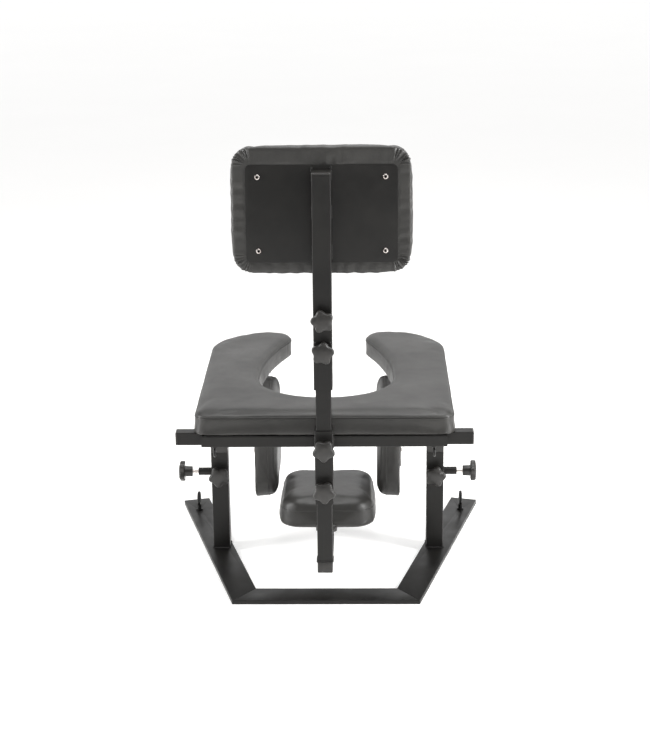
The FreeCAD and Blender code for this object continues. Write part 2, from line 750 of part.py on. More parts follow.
def back_pad():
    """Steel plate, board and foam of the back pad, facing the seat."""
    plate = rounded_slab("back_plate", "size.plate_wide", "size.plate_high", "size.plate_thick",
                         "size.plate_corner")
    front = "size.post_ahead + size.sleeve / 2"
    put(plate, "0", front, "size.plate_height", ALONG_Y)

    board = rounded_slab("back_board", "size.back_wide - 2 * size.board_inset",
                         "size.back_high - 2 * size.board_inset", "size.back_board",
                         "size.back_corner - size.board_inset")
    put(board, "0", f"{front} + size.plate_thick", "size.back_height", ALONG_Y)

    foam = rounded_slab("back_cushion", "size.back_wide", "size.back_high", "size.back_foam",
                        "size.back_corner")
    put(foam, "0", f"{front} + size.plate_thick + size.back_board", "size.back_height", ALONG_Y)

    heads = []
    for across in (-1, 1):
        for up in (-1, 1):
            heads.append(screw_head(f"{across} * size.plate_screw_wide / 2", "0",
                                    f"{up} * size.plate_screw_high / 2", ALONG_MINUS_Y))
    put(group("back_plate_screws", heads), "0", front, "size.plate_height")


# ---------------------------------------------------------------- low arm and pad

ARM_SINE = math.sin(math.radians(SIZES["arm_slope"]))
ARM_COSINE = math.cos(math.radians(SIZES["arm_slope"]))


def on_arm(along, rise):
    """Expressions for y and z of a point along the low arm and above its centre line."""
    y = f"size.arm_ahead + ({along}) * {ARM_COSINE:.9f} + ({rise}) * {ARM_SINE:.9f}"
    z = f"size.arm_height - ({along}) * {ARM_SINE:.9f} + ({rise}) * {ARM_COSINE:.9f}"
    return y, z


def low_arm():
    """Sleeve under the post, slide inside it, and the low pad on its plate."""
    sleeve = square_tube("arm_sleeve", "size.arm_wide", "size.arm_high", "size.arm_sleeve_length",
                         "size.arm_wall")
    rod(sleeve, "size.boss_radius", "size.boss_length", y="-size.arm_high / 2",
        z="size.arm_knob_ahead", turn=ALONG_MINUS_Y)
    hole(sleeve, "size.stud_radius + size.stud_play", "size.boss_length + size.arm_high / 3",
         y="-size.arm_high / 2 - size.boss_length", z="size.arm_knob_ahead", turn=ALONG_Y)
    put(sleeve, "0", *on_arm("0", "0"), DOWN_THE_ARM)

    cap = new_body("arm_sleeve_cap")
    lid = block(cap, "size.arm_wide", "size.arm_high", "size.cap_thick", "-size.cap_thick")
    soften(cap, lid, "size.edge_round", is_upright)
    block(cap, "size.arm_wide - 2 * size.arm_wall", "size.arm_high - 2 * size.arm_wall",
          "2 * size.cap_thick")
    put(cap, "0", *on_arm("0", "0"), DOWN_THE_ARM)

    narrow = "2 * (size.arm_wall + size.slide_gap)"
    slide = square_tube("arm_slide", f"(size.arm_wide - {narrow})", f"(size.arm_high - {narrow})",
                        "size.arm_slide_end - size.arm_slide_start", "size.arm_slide_wall")
    put(slide, "0", *on_arm("size.arm_slide_start", "0"), DOWN_THE_ARM)

    stud = "size.knob_gap + size.boss_length + size.arm_wall"
    knob = star_knob("arm_knob", "size.hub_height", stud)
    above = "size.arm_high / 2 + size.boss_length + size.knob_gap"
    put(knob, "0", *on_arm("size.arm_knob_ahead", above), ON_THE_ARM)

    top = "(size.arm_high / 2 - size.arm_wall - size.slide_gap)"
    centre = "size.low_start + size.low_long / 2"
    plate = rounded_slab("low_pad_plate", "size.low_plate_wide", "size.low_plate_long",
                         "size.low_plate_thick", "size.plate_corner")
    put(plate, "0", *on_arm(centre, top), ON_THE_ARM)
    above_plate = f"{top} + size.low_plate_thick"
    board = rounded_slab("low_pad_board", "size.low_wide - 2 * size.board_inset",
                         "size.low_long - 2 * size.board_inset", "size.low_board",
                         "size.low_corner - size.board_inset")
    put(board, "0", *on_arm(centre, above_plate), ON_THE_ARM)
    foam = rounded_slab("low_pad_cushion", "size.low_wide", "size.low_long", "size.low_foam",
                        "size.low_corner")
    put(foam, "0", *on_arm(centre, f"{above_plate} + size.low_board"), ON_THE_ARM)

    heads = []
    for across in (-1, 1):
        for ahead in (-1, 1):
            heads.append(screw_head(f"{across} * size.low_screw_wide / 2",
                                    f"{ahead} * size.low_screw_long / 2", "0", UPSIDE_DOWN))
    put(group("low_pad_screws", heads), "0", *on_arm(centre, top), ON_THE_ARM)


# ---------------------------------------------------------------- build and write

def clamp_knobs():
    """Every star knob that clamps a sleeve from behind."""
    for side, sign in SIDES:
        clamp_knob(f"{side}_post_knob", f"{sign} * size.leg_span", "size.leg_ahead",
                   "size.side_knob_height")
    for label, height in (("upper_sleeve_knob", "size.upper_knob_height"),
                          ("lower_sleeve_knob", "size.lower_knob_height"),
                          ("collar_knob", "size.collar_knob_height"),
                          ("back_pad_knob", "size.back_knob_height")):
        clamp_knob(label, "0", "size.post_ahead", height)


def write_parts():
    """Check every object, then write each piece to its own STEP file."""
    doc.recompute()
    failed = [item.Name for item in doc.Objects
              if "Invalid" in item.State or "Error" in item.State]
    if failed:
        raise RuntimeError(f"these objects failed: {failed}")
    os.makedirs("parts", exist_ok=True)
    for piece in pieces:
        shape = piece.Shape
        if shape.isNull() or not shape.isValid() or not shape.Solids:
            raise RuntimeError(f"{piece.Label} has no valid solid")
        shape.exportStep(f"parts/{piece.Label}.step")
    print(f"{len(pieces)} pieces written")


floor_bars()
leg_sleeves()
pull_pins()
base_eyes()
seat_frame()
seat_pad()
seat_screws()
side_pads()
back_post()
back_pad()
low_arm()
clamp_knobs()
write_parts()
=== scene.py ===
"""Upholstery, knobs, screws, welds and finishes of a padded horseshoe seat frame.

Everything is built around the seat's CAD frame, in metres: +Z is up, +Y runs from the back post
towards the open front of the seat, and the floor is z = 0.
"""

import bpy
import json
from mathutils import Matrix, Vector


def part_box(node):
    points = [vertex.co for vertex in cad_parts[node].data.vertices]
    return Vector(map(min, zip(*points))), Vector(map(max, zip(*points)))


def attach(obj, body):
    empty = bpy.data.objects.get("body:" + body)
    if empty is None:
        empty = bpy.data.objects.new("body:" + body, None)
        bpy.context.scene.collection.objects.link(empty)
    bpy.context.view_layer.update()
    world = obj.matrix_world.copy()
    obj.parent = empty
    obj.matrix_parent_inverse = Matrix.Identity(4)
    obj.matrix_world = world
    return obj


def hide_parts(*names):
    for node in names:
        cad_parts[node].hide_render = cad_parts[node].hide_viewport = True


bl_info = {
    "name": "Horseshoe Seat Looks",
    "version": (1, 0, 0),
    "blender": (4, 5, 0),
    "location": "View3D > Sidebar > Horseshoe Seat",
    "description": "Adds upholstery, hardware and finishes to a padded horseshoe seat frame",
    "category": "Add Mesh",
}

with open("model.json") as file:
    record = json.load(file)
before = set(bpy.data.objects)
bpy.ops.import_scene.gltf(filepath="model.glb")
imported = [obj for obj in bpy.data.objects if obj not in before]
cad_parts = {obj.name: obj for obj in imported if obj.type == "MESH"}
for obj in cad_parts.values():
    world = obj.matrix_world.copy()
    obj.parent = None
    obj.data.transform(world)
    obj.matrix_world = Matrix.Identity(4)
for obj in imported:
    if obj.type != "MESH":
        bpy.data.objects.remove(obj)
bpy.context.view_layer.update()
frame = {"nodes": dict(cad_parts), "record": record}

import json
from math import atan2, ceil, cos, exp, hypot, pi, radians, sin

import bmesh
import bpy
from bpy.props import FloatProperty, FloatVectorProperty, IntProperty, PointerProperty
from mathutils import Matrix, Vector, noise

RECORD = frame["record"]
SLOT_OF = {part["node"]: part["material_slot"] for part in RECORD["subparts"]}
BODY_OF = {node: body for body, nodes in RECORD["behaviour"]["bodies"].items() for node in nodes}
JOINTS = {joint["name"]: joint for joint in RECORD["behaviour"]["joints"]}
SIDES = (("left", -1), ("right", 1))

WELD_STEP = 0.75        # spacing of a weld's ripples, as a share of the bead's radius
MERGE = 1e-5            # metres within which a CAD mesh's loose corners are one


def linear(hex_colour):
    """Linear RGBA from an sRGB hex colour."""
    channels = [int(hex_colour[i:i + 2], 16) / 255 for i in (1, 3, 5)]
    return [c / 12.92 if c <= 0.04045 else ((c + 0.055) / 1.055) ** 2.4 for c in channels] + [1]


# ---------------------------------------------------------------- sizes that a user would change

class UpholsterySizes(bpy.types.PropertyGroup):
    """Sizes of the vinyl covers."""
    swell: FloatProperty(
        name="Swell", description="Most that the foam pushes a cover out",
        default=0.006, min=0, unit="LENGTH")
    slack: FloatProperty(
        name="Slack", description="How much smaller than the pad a cover starts",
        default=0.0035, min=0, unit="LENGTH")
    settle: IntProperty(
        name="Settle", description="Rounds of smoothing that take the folds out of a cover",
        default=7, min=0)
    welt_radius: FloatProperty(
        name="Welt radius", description="Radius of each cord of a double welt",
        default=0.0015, min=0.0005, unit="LENGTH")
    seam_drop: FloatProperty(
        name="Seam drop", description="Seam below the face of a pad",
        default=0.012, min=0, unit="LENGTH")
    pleat_depth: FloatProperty(
        name="Pleat depth", description="Depth of the gathers at a pad's corners",
        default=0.0024, min=0, unit="LENGTH")
    vinyl_colour: FloatVectorProperty(
        name="Vinyl", description="Colour of the vinyl", subtype="COLOR", size=4,
        default=linear("#262523"))


class HardwareSizes(bpy.types.PropertyGroup):
    """Sizes of the knobs, screws and welds."""
    knob_radius: FloatProperty(
        name="Knob radius", description="Middle radius of a star knob's wavy edge",
        default=0.0268, min=0.01, unit="LENGTH")
    lobe_depth: FloatProperty(
        name="Lobe depth", description="How far a knob's lobes stand in and out",
        default=0.0032, min=0, unit="LENGTH")
    lobe_count: IntProperty(
        name="Lobes", description="Lobes on a star knob", default=5, min=3)
    head_thick: FloatProperty(
        name="Head", description="Thickness of a star knob's head",
        default=0.018, min=0.005, unit="LENGTH")
    screw_radius: FloatProperty(
        name="Screw head", description="Radius of a button-head screw",
        default=0.007, min=0.002, unit="LENGTH")
    screw_high: FloatProperty(
        name="Screw height", description="Height of a button-head screw",
        default=0.004, min=0.001, unit="LENGTH")
    bead_radius: FloatProperty(
        name="Weld bead", description="Radius of a weld bead", default=0.0026, unit="LENGTH")
    eased_edge: FloatProperty(
        name="Eased edge", description="Rounding of a cut steel edge under its coat",
        default=0.0008, unit="LENGTH")


class StudioSettings(bpy.types.PropertyGroup):
    """Camera, floor and lights."""
    lens: FloatProperty(name="Lens", description="Focal length", default=84.48, unit="CAMERA")
    pitch: FloatProperty(
        name="Pitch", description="Camera's tilt below the horizon",
        default=radians(17.77), subtype="ANGLE")
    yaw: FloatProperty(
        name="Yaw", description="Camera's turn to the right", default=radians(-1.22),
        subtype="ANGLE")
    roll: FloatProperty(
        name="Roll", description="Camera's roll", default=radians(-0.62), subtype="ANGLE")
    place: FloatVectorProperty(
        name="Camera place", description="Where the camera stands",
        default=(0.096, -4.674, 2.033), subtype="TRANSLATION")
    sky: FloatProperty(name="Surround", description="Strength of the white surround", default=1.0)
    sky_ahead: FloatProperty(
        name="Surround ahead", description="Light that the seat gets from its front", default=0.85)
    sky_behind: FloatProperty(
        name="Surround behind", description="Light that the seat gets from its back",
        default=0.46)
    bank_share: FloatProperty(
        name="Light bank", description="How much brighter the bank of lights ahead is",
        default=2.6, min=1)
    overhead: FloatProperty(name="Overhead", description="Power of the top light", default=75.0)
    strip: FloatProperty(
        name="Strips", description="Power of each upright strip light at the sides", default=80.0)
    floor_glow: FloatProperty(
        name="Floor glow", description="Light that comes up through the floor", default=0.34)
    floor_colour: FloatVectorProperty(
        name="Floor", description="Colour of the floor", subtype="COLOR", size=4,
        default=linear("#F6F5F3"))


# ---------------------------------------------------------------- materials

def add_node(tree, kind, inputs=None, **settings):
    """Add a shader node, set its settings, and set or link its inputs."""
    node = tree.nodes.new(kind)
    for name, value in settings.items():
        setattr(node, name, value)
    for name, value in (inputs or {}).items():
        if isinstance(value, bpy.types.NodeSocket):
            tree.links.new(value, node.inputs[name])
        else:
            node.inputs[name].default_value = value
    return node


def new_material(name):
    """A material with an empty tree, its Principled shader and the object's own coordinates."""
    material = bpy.data.materials.new(name)
    material.use_nodes = True
    tree = material.node_tree
    tree.nodes.clear()
    shader = add_node(tree, "ShaderNodeBsdfPrincipled")
    output = add_node(tree, "ShaderNodeOutputMaterial")
    tree.links.new(shader.outputs["BSDF"], output.inputs["Surface"])
    place = add_node(tree, "ShaderNodeTexCoord").outputs["Object"]
    return material, tree, shader, place


def set_shader(shader, **values):
    """Set constants straight on the shader's sockets; underscores stand for spaces."""
    for name, value in values.items():
        shader.inputs[name.replace("_", " ")].default_value = value


def two_tones(tree, factor, dark, light, low, high):
    """A colour that runs from dark to light as a factor runs from low to high."""
    ramp = add_node(tree, "ShaderNodeValToRGB", {"Fac": factor})
    ramp.color_ramp.elements[0].position = low
    ramp.color_ramp.elements[0].color = dark
    ramp.color_ramp.elements[1].position = high
    ramp.color_ramp.elements[1].color = light
    return ramp.outputs["Color"]


def per_metre(millimetres):
    """Texture scale for a pattern that repeats every so many millimetres."""
    return 1000 / millimetres


def powder_coated_steel(name="powder_coated_steel", tone="#131211", sheen="#1B1A18",
                        roughness=(0.34, 0.5)):
    """Satin black polyester powder coat on mild steel tube, sprayed and baked.

    The eye gets a soft, slightly pebbled gloss, and broad patches a little duller than others.
    """
    material, tree, shader, place = new_material(name)
    patches = add_node(tree, "ShaderNodeTexNoise", {
        "Vector": place, "Scale": per_metre(90), "Detail": 4.0, "Roughness": 0.6})
    # real orange peel is about 1 mm across; drawn at 2.5 mm so that it shows
    peel = add_node(tree, "ShaderNodeTexNoise", {
        "Vector": place, "Scale": per_metre(2.5), "Detail": 2.0, "Roughness": 0.5})
    colour = two_tones(tree, patches.outputs["Fac"], linear(tone), linear(sheen), 0.35, 0.7)
    tree.links.new(colour, shader.inputs["Base Color"])
    gloss = add_node(tree, "ShaderNodeMapRange", {
        "Value": patches.outputs["Fac"], "From Min": 0.3, "From Max": 0.7,
        "To Min": roughness[0], "To Max": roughness[1]})
    tree.links.new(gloss.outputs["Result"], shader.inputs["Roughness"])
    bump = add_node(tree, "ShaderNodeBump", {
        "Height": peel.outputs["Fac"], "Strength": 0.12, "Distance": 0.0004})
    tree.links.new(bump.outputs["Normal"], shader.inputs["Normal"])
    set_shader(shader, IOR=1.5, Specular_IOR_Level=0.32)
    return material


def blackened_steel():
    """Forged steel, oil-blackened: a darker, tighter gloss than the powder coat."""
    return powder_coated_steel("oil_blackened_steel", "#111111", "#1C1B1A", (0.25, 0.36))


def zinc_plated_steel():
    """Turned steel with bright zinc plate: a pale, faintly warm mirror with turning marks."""
    material, tree, shader, place = new_material("bright_zinc_plate")
    # turning marks are about 0.3 mm apart; drawn at 1.2 mm so that they show
    marks = add_node(tree, "ShaderNodeTexNoise", {
        "Vector": place, "Scale": per_metre(1.2), "Detail": 2.0, "Roughness": 0.5})
    stain = add_node(tree, "ShaderNodeTexNoise", {
        "Vector": place, "Scale": per_metre(14), "Detail": 3.0, "Roughness": 0.5})
    colour = two_tones(tree, stain.outputs["Fac"], linear("#B7ADA8"), linear("#D9D3CF"), 0.3, 0.7)
    tree.links.new(colour, shader.inputs["Base Color"])
    gloss = add_node(tree, "ShaderNodeMapRange", {
        "Value": marks.outputs["Fac"], "To Min": 0.16, "To Max": 0.32})
    tree.links.new(gloss.outputs["Result"], shader.inputs["Roughness"])
    bump = add_node(tree, "ShaderNodeBump", {
        "Height": marks.outputs["Fac"], "Strength": 0.1, "Distance": 0.0002})
    tree.links.new(bump.outputs["Normal"], shader.inputs["Normal"])
    set_shader(shader, Metallic=1.0)
    return material


def moulded_nylon():
    """Black glass-filled nylon, injection moulded: a soft semi-gloss with a fine spark texture."""
    material, tree, shader, place = new_material("moulded_black_nylon")
    # spark erosion leaves about 0.3 mm grain; drawn at 0.9 mm so that it shows
    grain = add_node(tree, "ShaderNodeTexNoise", {
        "Vector": place, "Scale": per_metre(0.9), "Detail": 3.0, "Roughness": 0.6})
    flow = add_node(tree, "ShaderNodeTexNoise", {
        "Vector": place, "Scale": per_metre(20), "Detail": 2.0, "Roughness": 0.5})
    colour = two_tones(tree, flow.outputs["Fac"], linear("#1E1D1B"), linear("#2A2826"), 0.3, 0.7)
    tree.links.new(colour, shader.inputs["Base Color"])
    gloss = add_node(tree, "ShaderNodeMapRange", {
        "Value": flow.outputs["Fac"], "To Min": 0.26, "To Max": 0.4})
    tree.links.new(gloss.outputs["Result"], shader.inputs["Roughness"])
    bump = add_node(tree, "ShaderNodeBump", {
        "Height": grain.outputs["Fac"], "Strength": 0.15, "Distance": 0.0002})
    tree.links.new(bump.outputs["Normal"], shader.inputs["Normal"])
    set_shader(shader, IOR=1.53)
    return material


def embossed_vinyl():
    """PVC-coated upholstery vinyl with a pressed leather grain.

    The eye gets small pebbles with fine creases between them, shiny on top and dull in the
    creases, and cloudy changes of tone over a hand's width.
    """
    material, tree, shader, place = new_material("embossed_black_vinyl")
    colour_now = bpy.context.scene.seat_upholstery.vinyl_colour
    lighter = [min(1.0, channel * 1.5) for channel in colour_now[:3]] + [1]
    # the pressed pebbles are about 1.5 mm across; drawn at 2.6 mm so that they show
    pebbles = add_node(tree, "ShaderNodeTexVoronoi", {
        "Vector": place, "Scale": per_metre(2.6), "Randomness": 0.9},
        feature="DISTANCE_TO_EDGE")
    clouds = add_node(tree, "ShaderNodeTexNoise", {
        "Vector": place, "Scale": per_metre(120), "Detail": 5.0, "Roughness": 0.6})
    creases = add_node(tree, "ShaderNodeMapRange", {
        "Value": pebbles.outputs["Distance"], "From Max": 0.12})
    colour = two_tones(tree, clouds.outputs["Fac"], list(colour_now), lighter, 0.35, 0.75)
    tree.links.new(colour, shader.inputs["Base Color"])
    worn = add_node(tree, "ShaderNodeMath", {
        0: creases.outputs["Result"], 1: clouds.outputs["Fac"]}, operation="MULTIPLY")
    gloss = add_node(tree, "ShaderNodeMapRange", {
        "Value": worn.outputs["Value"], "From Max": 0.7, "To Min": 0.52, "To Max": 0.34})
    tree.links.new(gloss.outputs["Result"], shader.inputs["Roughness"])
    bump = add_node(tree, "ShaderNodeBump", {
        "Height": creases.outputs["Result"], "Strength": 0.2, "Distance": 0.0003})
    tree.links.new(bump.outputs["Normal"], shader.inputs["Normal"])
    set_shader(shader, IOR=1.53, Coat_Weight=0.05, Coat_Roughness=0.3)
    return material


def birch_plywood():
    """Rotary-cut birch plywood: pale, with long soft grain and a dry, open surface."""
    material, tree, shader, place = new_material("birch_plywood")
    along = add_node(tree, "ShaderNodeMapping", {"Vector": place, "Scale": (1.0, 0.12, 0.5)})
    grain = add_node(tree, "ShaderNodeTexNoise", {
        "Vector": along.outputs["Vector"], "Scale": per_metre(9), "Detail": 6.0,
        "Roughness": 0.65, "Distortion": 0.6})
    # the plies are 1.4 mm thick and show as bands on the edges
    plies = add_node(tree, "ShaderNodeTexWave", {
        "Vector": place, "Scale": per_metre(2.8) / 6, "Distortion": 0.3},
        wave_type="BANDS", bands_direction="Z")
    mixed = add_node(tree, "ShaderNodeMath", {
        0: grain.outputs["Fac"], 1: plies.outputs["Fac"]}, operation="MULTIPLY")
    colour = two_tones(tree, mixed.outputs["Value"], linear("#8F6B43"), linear("#C9A878"),
                       0.05, 0.6)
    tree.links.new(colour, shader.inputs["Base Color"])
    bump = add_node(tree, "ShaderNodeBump", {
        "Height": grain.outputs["Fac"], "Strength": 0.2, "Distance": 0.0004})
    tree.links.new(bump.outputs["Normal"], shader.inputs["Normal"])
    set_shader(shader, Roughness=0.72)
    return material


def polished_floor():
    """White opal acrylic, lit softly from below: shadowless, with a faint mirror at a low angle."""
    material, tree, shader, place = new_material("white_opal_acrylic")
    colour_now = bpy.context.scene.seat_studio.floor_colour
    clouds = add_node(tree, "ShaderNodeTexNoise", {
        "Vector": place, "Scale": per_metre(900), "Detail": 2.0, "Roughness": 0.5})
    paler = [min(1.0, channel * 1.02) for channel in colour_now[:3]] + [1]
    colour = two_tones(tree, clouds.outputs["Fac"], list(colour_now), paler, 0.3, 0.7)
    tree.links.new(colour, shader.inputs["Base Color"])
    set_shader(shader, Roughness=0.12, IOR=1.35, Emission_Color=(1, 1, 1, 1),
               Emission_Strength=bpy.context.scene.seat_studio.floor_glow)
    return material


FINISHES = {
    "frame_steel": powder_coated_steel,
    "blackened_steel": blackened_steel,
    "bare_steel": zinc_plated_steel,
    "moulded_plastic": moulded_nylon,
    "vinyl": embossed_vinyl,
    "plywood": birch_plywood,
}
_made = {}


def finish_for(slot):
    """The material for one of the record's slots, made once."""
    if slot not in _made:
        _made[slot] = FINISHES[slot]()
    return _made[slot]


# ---------------------------------------------------------------- mesh helpers

def add_piece(name, mesh, body, slot, replaced=(), smooth=True, extra_slots=()):
    """Make a piece from a bmesh, give it its finish and let it ride on its body."""
    data = bpy.data.meshes.new(name)
    bmesh.ops.recalc_face_normals(mesh, faces=mesh.faces)
    mesh.to_mesh(data)
    mesh.free()
    return add_object(name, data, body, slot, replaced, smooth, extra_slots)


def add_object(name, data, body, slot, replaced=(), smooth=True, extra_slots=()):
    """Make a piece from finished mesh data."""
    piece = bpy.data.objects.new(name, data)
    bpy.context.scene.collection.objects.link(piece)
    data.materials.clear()
    for each in (slot, *extra_slots):
        data.materials.append(finish_for(each))
    if smooth:
        data.shade_smooth()
        data.set_sharp_from_angle(angle=radians(40))
    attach(piece, body)
    if replaced:
        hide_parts(*replaced)
    return piece


def cad_copy(node):
    """A merged, simplified bmesh copy of a CAD node."""
    mesh = bmesh.new()
    mesh.from_mesh(frame["nodes"][node].data)
    bmesh.ops.remove_doubles(mesh, verts=mesh.verts, dist=MERGE)
    bmesh.ops.dissolve_limit(mesh, angle_limit=radians(0.5), verts=mesh.verts, edges=mesh.edges)
    return mesh


def round_edges(mesh, edges, width, segments):
    """Bevel edges to a round."""
    bmesh.ops.bevel(mesh, geom=list(edges), offset=width, offset_type="OFFSET",
                    affect="EDGES", segments=segments, profile=0.5, material=-1,
                    clamp_overlap=True)


def raise_face(mesh, face):
    """Extrude one face in place; returns its copy and that copy's corners."""
    raised = bmesh.ops.extrude_face_region(mesh, geom=[face])["geom"]
    corners = [v for v in raised if isinstance(v, bmesh.types.BMVert)]
    return [f for f in raised if isinstance(f, bmesh.types.BMFace)][0], corners


def is_sharp(edge, angle=radians(50)):
    """True for an outer corner sharper than an angle."""
    return edge.is_manifold and edge.is_convex and edge.calc_face_angle(0) > angle


def islands(node):
    """Lowest and highest corner of each loose solid of a CAD node."""
    mesh = cad_copy(node)
    left = set(mesh.verts)
    found = []
    while left:
        edge_of_island = [left.pop()]
        island = list(edge_of_island)
        while edge_of_island:
            vert = edge_of_island.pop()
            for edge in vert.link_edges:
                other = edge.other_vert(vert)
                if other in left:
                    left.remove(other)
                    island.append(other)
                    edge_of_island.append(other)
        corners = [v.co for v in island]
        low = Vector([min(c[i] for c in corners) for i in range(3)])
        high = Vector([max(c[i] for c in corners) for i in range(3)])
        found.append((low, high))
    mesh.free()
    return sorted(found, key=lambda pair: tuple(round(c, 4) for c in pair[0]))


def facing(direction):
    """Rotation that turns +Z to a direction."""
    return Vector((0, 0, 1)).rotation_difference(Vector(direction)).to_matrix().to_4x4()


# ---------------------------------------------------------------- upholstery

def live_mesh(piece):
    """The piece's mesh with its modifiers applied."""
    graph = bpy.context.evaluated_depsgraph_get()
    return bpy.data.meshes.new_from_object(piece.evaluated_get(graph))


def with_modifier(data, kind, **settings):
    """Mesh data after one modifier."""
    scratch = bpy.data.objects.new("scratch", data)
    bpy.context.scene.collection.objects.link(scratch)
    modifier = scratch.modifiers.new(kind, kind)
    for name, value in settings.items():
        setattr(modifier, name, value)
    result = live_mesh(scratch)
    bpy.data.objects.remove(scratch)
    return result


def swollen(data, swell, is_fixed):
    """Push a closed cover out with the cloth solver, keeping its stapled side where it is."""
    pressure = 4
    stretch = 20            # stiffness against stretching and squeezing
    stiffness = 0.6         # stiffness against bending
    last_frame = 20
    scratch = bpy.data.objects.new("cover_cloth", data)
    scene = bpy.context.scene
    scene.collection.objects.link(scratch)
    stapled = scratch.vertex_groups.new(name="stapled")
    stapled.add([v.index for v in data.vertices if is_fixed(v.co)], 1.0, "ADD")
    cloth = scratch.modifiers.new("cloth", "CLOTH")
    cloth.settings.vertex_group_mass = "stapled"
    cloth.settings.use_pressure = True
    cloth.settings.uniform_pressure_force = pressure
    cloth.settings.quality = 4
    cloth.settings.tension_stiffness = stretch
    cloth.settings.compression_stiffness = stretch
    cloth.settings.bending_stiffness = stiffness
    cloth.settings.effector_weights.gravity = 0
    cloth.collision_settings.use_collision = False
    cloth.point_cache.frame_start = 1
    cloth.point_cache.frame_end = last_frame
    for number in range(1, last_frame + 1):
        scene.frame_set(number)
    blown = live_mesh(scratch)
    scene.frame_set(1)
    bpy.data.objects.remove(scratch)
    rest = [vert.co.copy() for vert in data.vertices]
    moved = [after.co - before for before, after in zip(rest, blown.vertices)]
    for way in moved:
        if way.length > swell:
            way.length = swell
    set_places(blown, [place + way for place, way in zip(rest, moved)])
    return blown


def set_places(data, places):
    """Put every corner of a mesh in its new place at once."""
    data.vertices.foreach_set("co", [part for place in places for part in place])
    data.update()


def move_along_normals(data, distance):
    """Move every corner of a mesh out by a function of its place and normal."""
    set_places(data, [vert.co + vert.normal * distance(vert.co, vert.normal)
                      for vert in data.vertices])


def smoothstep(value, low, high):
    """0 below low, 1 above high, smooth between."""
    share = min(1.0, max(0.0, (value - low) / (high - low)))
    return share * share * (3 - 2 * share)


def cover(name, nodes, body, up, wrap, front_round, back_round, voxel, detail, seams=(), calm=1):
    """A vinyl cover for one pad.

    nodes are the pad's foam and the board that the vinyl is stapled round, up the way the pad
    faces, wrap how far the cover runs back past the foam over its board, detail a function of
    place and normal that gives how far the surface moves out, seams the depths below the face
    at which a welt cord runs round, and calm how much smoother than others this cover lies.
    """
    sizes = bpy.context.scene.seat_upholstery
    shortest_upright = 0.01
    stapled = 0.002         # height of the strip that the staples hold still
    free = 0.01             # height above the back at which the cover is fully slack
    to_world = facing(up)
    to_pad = to_world.inverted()
    mesh = cad_copy(nodes[0])
    bmesh.ops.transform(mesh, matrix=to_pad, verts=mesh.verts)
    heights = [v.co.z for v in mesh.verts]
    back, face = min(heights), max(heights)
    middle = (back + face) / 2
    for vert in mesh.verts:
        if vert.co.z < middle:
            vert.co.z = back - wrap
    back -= wrap
    upright = [e for e in mesh.edges if is_sharp(e)
               and abs(e.verts[0].co.z - e.verts[1].co.z) > shortest_upright]
    if upright:
        round_edges(mesh, upright, front_round * 0.8, 4)
    for height, width in ((face, front_round), (back, back_round)):
        rim = [e for e in mesh.edges if is_sharp(e)
               and all(abs(v.co.z - height) < MERGE for v in e.verts)]
        round_edges(mesh, rim, width, 6)
    start = bpy.data.meshes.new(name)
    mesh.to_mesh(start)
    mesh.free()
    skin = with_modifier(start, "REMESH", mode="VOXEL", voxel_size=voxel, use_smooth_shade=True)
    move_along_normals(skin, lambda place, normal: -sizes.slack * smoothstep(
        place.z, back, back + free))
    skin = swollen(skin, sizes.swell, lambda place: place.z < back + stapled)
    skin = with_modifier(skin, "SMOOTH", factor=0.5, iterations=round(sizes.settle * calm))
    set_places(skin, [Vector((*vert.co.xy, max(vert.co.z, back))) for vert in skin.vertices])
    skin = with_modifier(skin, "SUBSURF", levels=1, render_levels=1)
    skin.transform(to_world)
    move_along_normals(skin, detail)
    piece = add_object(name, skin, body, "vinyl", nodes)
    skin.shade_smooth()
    for number, depth in enumerate(seams, start=1):
        welt(f"{name}_welt_{number}", skin, to_world @ Vector((0, 0, face - depth)),
             to_world.to_3x3() @ Vector((0, 0, 1)), sizes.welt_radius, body)
    return piece


def welt(name, skin, place, normal, radius, body):
    """A thin vinyl cord sewn round a cover where a plane cuts it."""
    mesh = bmesh.new()
    mesh.from_mesh(skin)
    cut = bmesh.ops.bisect_plane(mesh, geom=mesh.verts[:] + mesh.edges[:] + mesh.faces[:],
                                 dist=1e-6, plane_co=place, plane_no=normal)
    keep = {e for e in cut["geom_cut"] if isinstance(e, bmesh.types.BMEdge)}
    bmesh.ops.delete(mesh, geom=list(mesh.faces), context="FACES_ONLY")
    bmesh.ops.delete(mesh, geom=[e for e in mesh.edges if e not in keep], context="EDGES")
    bmesh.ops.delete(mesh, geom=[v for v in mesh.verts if not v.link_edges], context="VERTS")
    bmesh.ops.remove_doubles(mesh, verts=mesh.verts, dist=radius / 2)
    line = bpy.data.meshes.new(name)
    mesh.to_mesh(line)
    mesh.free()
    scratch = bpy.data.objects.new(name, line)
    bpy.context.scene.collection.objects.link(scratch)
    with bpy.context.temp_override(active_object=scratch, object=scratch,
                                   selected_objects=[scratch],
                                   selected_editable_objects=[scratch]):
        bpy.ops.object.convert(target="CURVE")
    scratch.data.bevel_depth = radius
    scratch.data.bevel_resolution = 2
    tube = live_mesh(scratch)
    bpy.data.objects.remove(scratch)
    return add_object(name, tube, body, "vinyl")


def creases(place, size, depth):
    """Soft, shallow unevenness of stretched vinyl."""
    return depth * noise.noise(place / size)


